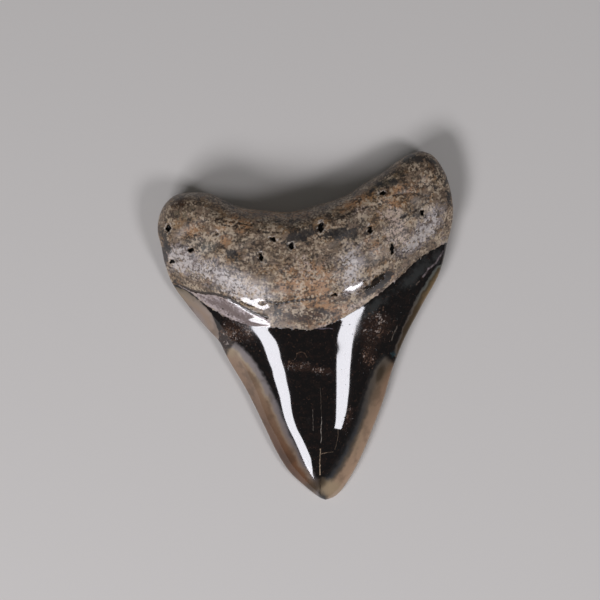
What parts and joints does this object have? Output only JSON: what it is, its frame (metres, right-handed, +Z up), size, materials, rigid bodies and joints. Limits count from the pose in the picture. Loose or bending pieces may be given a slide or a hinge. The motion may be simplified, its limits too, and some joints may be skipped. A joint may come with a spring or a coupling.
{
  "type": "fossil shark tooth",
  "caption": "Polished megalodon tooth: a broad triangular crown and a lobed root, lying on its flat face for display.",
  "frame": {"origin": "centre of the tooth's outline, on the plane it rests on", "axes": "+Y from the tip towards the root, +Z up, out of the domed lingual face, +X towards the higher root lobe"},
  "size_m": [0.0752, 0.0892, 0.0183],
  "materials": {
    "fossil": "polished"
  },
  "bodies": {
    "root": {"tooth": "fossil"}
  },
  "joints": []
}
